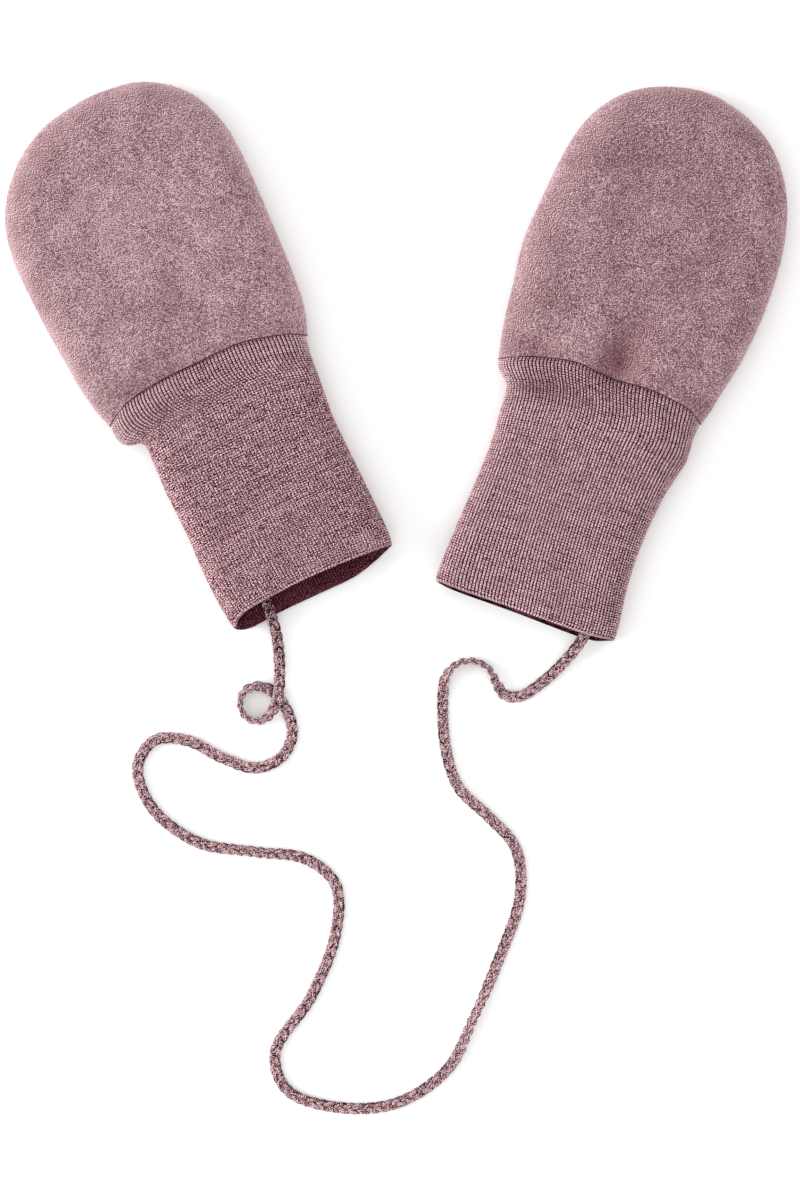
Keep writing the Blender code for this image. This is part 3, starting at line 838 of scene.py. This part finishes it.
def make_panel(mitten, front, material, random):
    """The front or the back of a hand: an outer and an inner skin, joined round the edge, with
    the tufts of its pile."""
    outer = panel_skin(mitten, front, 0.0, FRONT_STEPS if front else BACK_STEPS)
    inner = panel_skin(mitten, front, HAND_WALL, INSIDE_STEPS)
    skins = [to_world(mitten, outer), to_world(mitten, inner)]
    rays, width = outer.shape[:2]
    inside_width = inner.shape[1]
    numbers = np.arange(rays * width).reshape(rays, width)
    inside = rays * width + np.arange(rays * inside_width).reshape(rays, inside_width)
    bands = ((numbers[:, 0], inside[:, 0]), (numbers[0], inside[0]), (numbers[-1], inside[-1]))
    nap = np.concatenate((np.ones(numbers.size), np.zeros(inside.size)))
    # How hollow each point lies, counting the seam: the depth of its painted shade.
    hollow = np.concatenate((outer[:, :, 3].ravel(), inner[:, :, 3].ravel()))
    shade = np.full(len(nap), mitten.shade)
    node = f"{mitten.name}_hand_{'front' if front else 'back'}"
    layers = {"nap": nap, "hollow": hollow, "shade": shade}
    data = shell_mesh(node + "_fleece", skins, bands, closed=False, **layers)
    raise_pile(data)
    piece = add_piece(node + "_fleece", data, material, "fleece", node)
    roots = pile_roots(data, FRONT_TUFTS if front else BACK_TUFTS, random)
    if front:
        at_seam = seam_roots(mitten, outer, SEAM_TUFTS, random)
        roots = [np.concatenate(pair) for pair in zip(roots, at_seam)]
    tufts = make_tufts(node + "_nap", roots, mitten.shade, random)
    nap_piece = add_piece(node + "_nap", tufts, material, "fleece")


def make_cuff(mitten, material):
    """A cuff: a tube of ribs and stitches with a plain inside, whose mouth is a rounded fold."""
    fold_radius = CUFF_WALL / 2
    rows = cuff_rows(mitten, COURSES * STITCH_ROWS)
    outer = []
    for degrees in FOLD_ANGLES:
        turn = math.radians(degrees)
        inset = fold_radius * (1 - math.cos(turn))
        row = rows[0]._replace(along=fold_radius * (1 - math.sin(turn)))
        outer.append(cuff_ring(mitten, row, inset, stitch_columns(0.5)))
    for step, row in enumerate(rows):
        outer.append(cuff_ring(mitten, row, 0.0, stitch_columns(step / STITCH_ROWS)))
    plain = plain_columns()
    inner = [
        cuff_ring(mitten, row, CUFF_WALL, plain, outer=False)
        for row in cuff_rows(mitten, INSIDE_ROWS)
    ]
    outer = np.array(outer)
    inner = np.array(inner)
    rings, width = outer.shape[:2]
    inside_rings, inside_width = inner.shape[:2]
    numbers = np.arange(rings * width).reshape(rings, width)
    inside = rings * width + np.arange(inside_rings * inside_width).reshape(inside_rings, -1)
    bands = [
        (np.append(numbers[end], numbers[end, 0]), np.append(inside[end], inside[end, 0]))
        for end in (0, -1)
    ]
    both = np.vstack([skin.reshape(-1, skin.shape[2]) for skin in (outer, inner)])
    layers = dict(zip(KNIT_VALUES, both[:, 3:].T))
    # The inside and the lower half of the mouth's fold take the dark lining tones, partly painted shade.
    lining_and_shade = np.zeros((rings, width))
    lining_and_shade[: len(FOLD_ANGLES)] = outer[: len(FOLD_ANGLES), :, 2] < CUFF_SIDE_HEIGHT
    lining_and_shade = np.concatenate((lining_and_shade.ravel(), np.ones(inside.size)))
    name = f"{mitten.name}_cuff_knit"
    skins = [to_world(mitten, outer), to_world(mitten, inner)]
    layers["shade"] = np.full(len(both), mitten.shade)
    layers["lining_and_shade"] = lining_and_shade
    data = shell_mesh(name, skins, bands, closed=True, **layers)
    piece = add_piece(name, data, material, "rib_knit", f"{mitten.name}_cuff")


def cord_path():
    """Places along the middle of the cord, with how far it is rolled there, and the distance walked
    up to each. A rolled stretch rests on its edge."""
    route = np.array(CORD_ROUTE, float)
    route[:, 3] = np.radians(route[:, 3])
    curve = smooth_curve(route, ROUTE_STEPS, power=0.5)
    lift, roll = np.maximum(curve[:, 2:], 0.0).T
    curve[:, 2] = lift + CORD_THICKNESS / 2 * np.cos(roll) + CORD_WIDTH / 2 * np.sin(roll)
    lengths = np.linalg.norm(np.diff(curve[:, :3], axis=0), axis=1)
    walked = np.concatenate(([0.0], np.cumsum(lengths)))
    return curve, walked


def along_path(curve, walked, at):
    """The place, side and upward directions of the cord at each distance walked."""
    values = np.stack([np.interp(at, walked, column) for column in curve.T], axis=-1)
    place = values[..., :3]
    roll = values[..., 3:]
    ahead = unit(np.gradient(place, axis=0))
    level = unit(np.cross(ahead, (0.0, 0.0, 1.0)))
    upright = np.cross(level, ahead)
    side = level * np.cos(roll) + upright * np.sin(roll)
    return place, side, np.cross(side, ahead)


def make_cord(material, random):
    """The cord: a flat plait, each strand of which is a row of yarns side by side. It is painted darker
    in the grooves between the yarns, as painted shade, and darker towards the left cuff."""
    curve, walked = cord_path()
    count = round(walked[-1] / CORD_SPACING)
    at = np.linspace(0.0, walked[-1], count + 1)
    wave = math.tau / PLAIT_LENGTH
    turns = np.arange(YARN_SIDES) * math.tau / YARN_SIDES
    plum = PLUM_END_TONE * np.exp(-((at / PLUM_END) ** PLUM_END_FADE))
    # Painted shade in the grooves between the yarns, and the darker left end.
    dark = plum[:, None] + GROOVE_SHADE * np.abs(np.cos(turns))
    points = []
    faces = []
    shades = []
    for strand in range(STRANDS):
        phase = wave * at + math.tau * strand / STRANDS
        swing = PLAIT_SWING * np.tanh(SIDE_DWELL * np.sin(phase)) / math.tanh(SIDE_DWELL)
        slope = np.gradient(swing, at)
        steep = np.sqrt(1 + slope * slope)
        for yarn in range(YARNS):
            offset = (yarn - (YARNS - 1) / 2) * YARN_SPACING
            lift = MIDDLE_YARN_UP if yarn == (YARNS - 1) // 2 else 0.0
            place, side, up = along_path(curve, walked, at - offset * slope / steep)
            rise = (PLAIT_RISE + lift) * np.sin(2 * phase)
            middle = place + side * (swing + offset / steep)[:, None] + up * rise[:, None]
            ahead = unit(np.gradient(middle, axis=0))
            beside = unit(np.cross(ahead, up))
            above = np.cross(beside, ahead)
            ring = beside[:, None] * np.cos(turns)[:, None] + above[:, None] * np.sin(turns)[:, None]
            tube = middle[:, None] + ring * YARN_RADIUS
            start = sum(len(part) for part in points)
            points.append(tube.reshape(-1, 3) * MM)
            faces.append(grid_faces(start, count + 1, YARN_SIDES, closed=True))
            shades.append((random.uniform() - dark).ravel())
    data = new_mesh("cord_plait", np.vstack(points), np.vstack(faces), relief=np.concatenate(shades))
    close_ends(data)
    piece = add_piece("cord_plait", data, material, "cord_knit", "cord")


def close_ends(data):
    """Fills the open ends of a mesh's tubes."""
    mesh = bmesh.new()
    mesh.from_mesh(data)
    bmesh.ops.holes_fill(mesh, edges=mesh.edges, sides=YARN_SIDES)
    bmesh.ops.recalc_face_normals(mesh, faces=mesh.faces)
    mesh.to_mesh(data)
    mesh.free()
    data.shade_smooth()


def linear(tone):
    """A colour of 0 to 255 as the linear colour that shaders take, by the sRGB formula."""
    shares = np.array(tone) / 255
    low = shares / 12.92
    high = ((shares + 0.055) / 1.055) ** 2.4
    return (*np.where(shares <= 0.04045, low, high), 1.0)


def add_node(tree, kind, inputs, **settings):
    """Adds a shader node and sets or links its inputs, by name or number."""
    made = tree.nodes.new("ShaderNode" + kind)
    for name, value in settings.items():
        setattr(made, name, value)
    for name, value in inputs.items():
        if isinstance(value, bpy.types.NodeSocket):
            tree.links.new(value, made.inputs[name])
        else:
            made.inputs[name].default_value = value
    return made


def add_noise(tree, place, size, detail=2.0, roughness=0.5):
    """Noise with lumps of about this size in millimetres."""
    inputs = {"Vector": place, "Scale": 1 / (size * MM), "Detail": detail, "Roughness": roughness}
    return add_node(tree, "TexNoise", inputs).outputs["Fac"]


def add_grain(tree, place, size):
    """Fine light and dark grain round 0.5, even from afar: the step in a noise between a point and
    another one GRAIN_STEP away."""
    aside = {0: place, 1: tuple(step * MM for step in GRAIN_STEP)}
    beside = add_node(tree, "VectorMath", aside, operation="ADD").outputs[0]
    here = add_noise(tree, place, size, detail=0.0)
    there = add_noise(tree, beside, size, detail=0.0)
    step = add_node(tree, "Math", {0: here, 1: there}, operation="SUBTRACT").outputs[0]
    return add_node(tree, "Math", {0: step, 1: 0.5}, operation="ADD").outputs[0]


def add_up(tree, middle, weights, **textures):
    """Adds up textures round 0.5, each times its weight, on a middle value."""
    total = middle - sum(weights.values()) / 2
    for name, weight in weights.items():
        inputs = {0: textures[name], 1: weight, 2: total}
        total = add_node(tree, "Math", inputs, operation="MULTIPLY_ADD").outputs[0]
    return total


def add_on(tree, total, weights):
    """Adds named attributes to a value, each times its weight."""
    for name, weight in weights.items():
        inputs = {0: add_attribute(tree, name), 1: weight, 2: total}
        total = add_node(tree, "Math", inputs, operation="MULTIPLY_ADD").outputs[0]
    return total


def add_tones(tree, value, tones):
    """Turns a value of 0 to 1 into a colour, from dark to light."""
    ramp = add_node(tree, "ValToRGB", {"Fac": value})
    stops = ramp.color_ramp.elements
    for step in range(1, len(tones) - 1):
        stops.new(step / (len(tones) - 1))
    for stop, tone in zip(stops, tones):
        stop.color = linear(tone)
    return ramp.outputs["Color"]


def add_attribute(tree, name):
    return add_node(tree, "Attribute", {}, attribute_name=name).outputs["Fac"]


def add_mix(tree, share, first, second):
    """Mixes two colours by a share of 0 to 1. A mix node has its colours at these numbers."""
    inputs = {0: share, 6: first, 7: second}
    return add_node(tree, "Mix", inputs, data_type="RGBA").outputs[2]


def add_fold_shade_and_patches(tree, place, colour):
    """Paints shade into a colour in the folds, where the cloth is lit by more of itself, and deepens it
    in patches.
    """
    patches = add_noise(tree, place, PATCH_SIZE)
    over = add_node(tree, "Math", {0: patches, 1: BLUSH[0]}, operation="SUBTRACT").outputs[0]
    inputs = {0: over, 1: BLUSH[1]}
    blush = add_node(tree, "Math", inputs, operation="MULTIPLY", use_clamp=True).outputs[0]
    inputs = {0: add_attribute(tree, "hollow"), 1: FOLD_SHARE, 2: blush}
    share = add_node(tree, "Math", inputs, operation="MULTIPLY_ADD").outputs[0]
    return add_mix(tree, share, colour, linear(FOLD_SHADE_TONE))


def cloth_material(name, sheen=0.0):
    """A material with what all the cloth has in common, its node tree, and the places on it."""
    material = bpy.data.materials.new(name)
    material.use_nodes = True
    tree = material.node_tree
    shader = tree.nodes["Principled BSDF"]
    shader.inputs["Roughness"].default_value = CLOTH_ROUGHNESS
    shader.inputs["Specular IOR Level"].default_value = CLOTH_GLOSS
    shader.inputs["Sheen Weight"].default_value = sheen
    shader.inputs["Sheen Roughness"].default_value = SHEEN_ROUGHNESS
    shader.inputs["Sheen Tint"].default_value = linear(SHEEN_TONE)
    return material, tree, add_node(tree, "TexCoord", {}).outputs["Object"]


def dress_cloth(tree, colour, fibres, bump):
    """Gives a cloth its colour and lets its fibres stand out."""
    shader = tree.nodes["Principled BSDF"]
    tree.links.new(colour, shader.inputs["Base Color"])
    strength, height = bump
    inputs = {"Height": fibres, "Strength": strength, "Distance": height * MM}
    raised = add_node(tree, "Bump", inputs).outputs["Normal"]
    tree.links.new(raised, shader.inputs["Normal"])


def fleece_material():
    """Brushed wool: short curls of lighter and darker fibre in soft clouds of tone, with painted shade
    in folds and low grain and a painted sheen on the rolled sides.
    """
    material, tree, place = cloth_material("brushed_fleece", sheen=FLEECE_SHEEN)
    curls = add_grain(tree, place, FIBRE_SIZE)
    clouds = add_noise(tree, place, FLEECE_CLOUD_SIZE, detail=3.0)
    tone = add_up(tree, FLEECE_MIDDLE, FLEECE_TEXTURES, curls=curls, clouds=clouds)
    tone = add_on(tree, tone, FLEECE_LAYERS)
    colour = add_fold_shade_and_patches(tree, place, add_tones(tree, tone, FLEECE_TONES))
    dress_cloth(tree, colour, curls, FLEECE_BUMP)
    return material


def knit_material():
    """Heathered rib knit: painted shade between the ribs and at the foot of each stitch, streaked along
    the courses, and plum inside, drawn darker there as painted shade.
    """
    material, tree, place = cloth_material("heathered_rib_knit")
    stitch = {0: add_attribute(tree, "leg"), 1: add_attribute(tree, "course")}
    where = add_node(tree, "CombineXYZ", stitch).outputs[0]
    row = add_node(tree, "VectorMath", {0: where, 1: YARN_STRETCH}, operation="MULTIPLY").outputs[0]
    yarn = {"Vector": row, "Scale": 1.0, "Detail": 2.0}
    textures = {
        "streaks": add_node(tree, "TexNoise", yarn, noise_dimensions="2D").outputs["Fac"],
        "fibres": add_grain(tree, place, FIBRE_SIZE),
        "clouds": add_noise(tree, place, KNIT_CLOUD_SIZE),
    }
    tone = add_up(tree, KNIT_MIDDLE, KNIT_TEXTURES, **textures)
    tone = add_on(tree, tone, KNIT_LAYERS)
    outside = add_fold_shade_and_patches(tree, place, add_tones(tree, tone, KNIT_TONES))
    inside = add_tones(tree, tone, LINING_AND_SHADE_TONES)
    colour = add_mix(tree, add_attribute(tree, "lining_and_shade"), outside, inside)
    dress_cloth(tree, colour, textures["fibres"], YARN_BUMP)
    return material


def cord_material():
    """Yarns of pink and plum, twisted and plaited."""
    material, tree, place = cloth_material("plaited_yarn")
    textures = {
        "relief": add_attribute(tree, "relief"),
        "plies": add_grain(tree, place, FIBRE_SIZE),
        "clouds": add_noise(tree, place, CORD_CLOUD_SIZE),
    }
    tone = add_up(tree, CORD_MIDDLE, CORD_TEXTURES, **textures)
    dress_cloth(tree, add_tones(tree, tone, CORD_TONES), textures["plies"], YARN_BUMP)
    return material


def make_camera():
    """Straight above the pair, framed as a standing picture."""
    data = bpy.data.cameras.new("camera")
    data.lens = LENS
    data.sensor_width = SENSOR
    camera = bpy.data.objects.new("camera", data)
    distance = FRAME_HEIGHT * LENS / SENSOR
    height = distance + SIDE_SEAM_HEIGHT
    camera.location = (FRAME_MIDDLE[0] * MM, FRAME_MIDDLE[1] * MM, height * MM)
    bpy.context.scene.collection.objects.link(camera)
    bpy.context.scene.camera = camera


def make_studio():
    """A plain pale floor under an even dome of light, with a soft key light."""
    mesh = bmesh.new()
    bmesh.ops.create_grid(mesh, x_segments=1, y_segments=1, size=FLOOR_SIZE / 2)
    data = bpy.data.meshes.new("floor")
    mesh.to_mesh(data)
    mesh.free()
    material = bpy.data.materials.new("pale_floor")
    material.use_nodes = True
    shader = material.node_tree.nodes["Principled BSDF"]
    shader.inputs["Base Color"].default_value = linear(FLOOR_TONE)
    shader.inputs["Roughness"].default_value = 1.0
    shader.inputs["Specular IOR Level"].default_value = 0.0
    data.materials.append(material)
    floor = bpy.data.objects.new("floor", data)
    floor.location.z = -FLOOR_DROP * MM
    bpy.context.scene.collection.objects.link(floor)
    world = bpy.data.worlds.new("studio")
    world.use_nodes = True
    dome = world.node_tree.nodes["Background"]
    dome.inputs["Color"].default_value = (1.0, 1.0, 1.0, 1.0)
    dome.inputs["Strength"].default_value = DOME_STRENGTH
    bpy.context.scene.world = world
    key = bpy.data.lights.new("key", "SUN")
    key.energy = KEY_STRENGTH
    key.angle = math.radians(KEY_SOFTNESS)
    lamp = bpy.data.objects.new("key", key)
    # A sun that is tipped about X alone shines from -Y, which is 270 degrees round from +X.
    lamp.rotation_euler = (math.radians(90.0 - KEY_HEIGHT), 0.0, math.radians(KEY_FROM - 270.0))
    bpy.context.scene.collection.objects.link(lamp)
    bpy.context.scene.view_settings.view_transform = "Standard"


make_camera()
draws = np.random.default_rng(SEED)
make_cord(cord_material(), draws)
fleece = fleece_material()
knit = knit_material()
for each in (LEFT, RIGHT):
    make_cuff(each, knit)
    for is_front in (True, False):
        make_panel(each, is_front, fleece, draws)
make_studio()
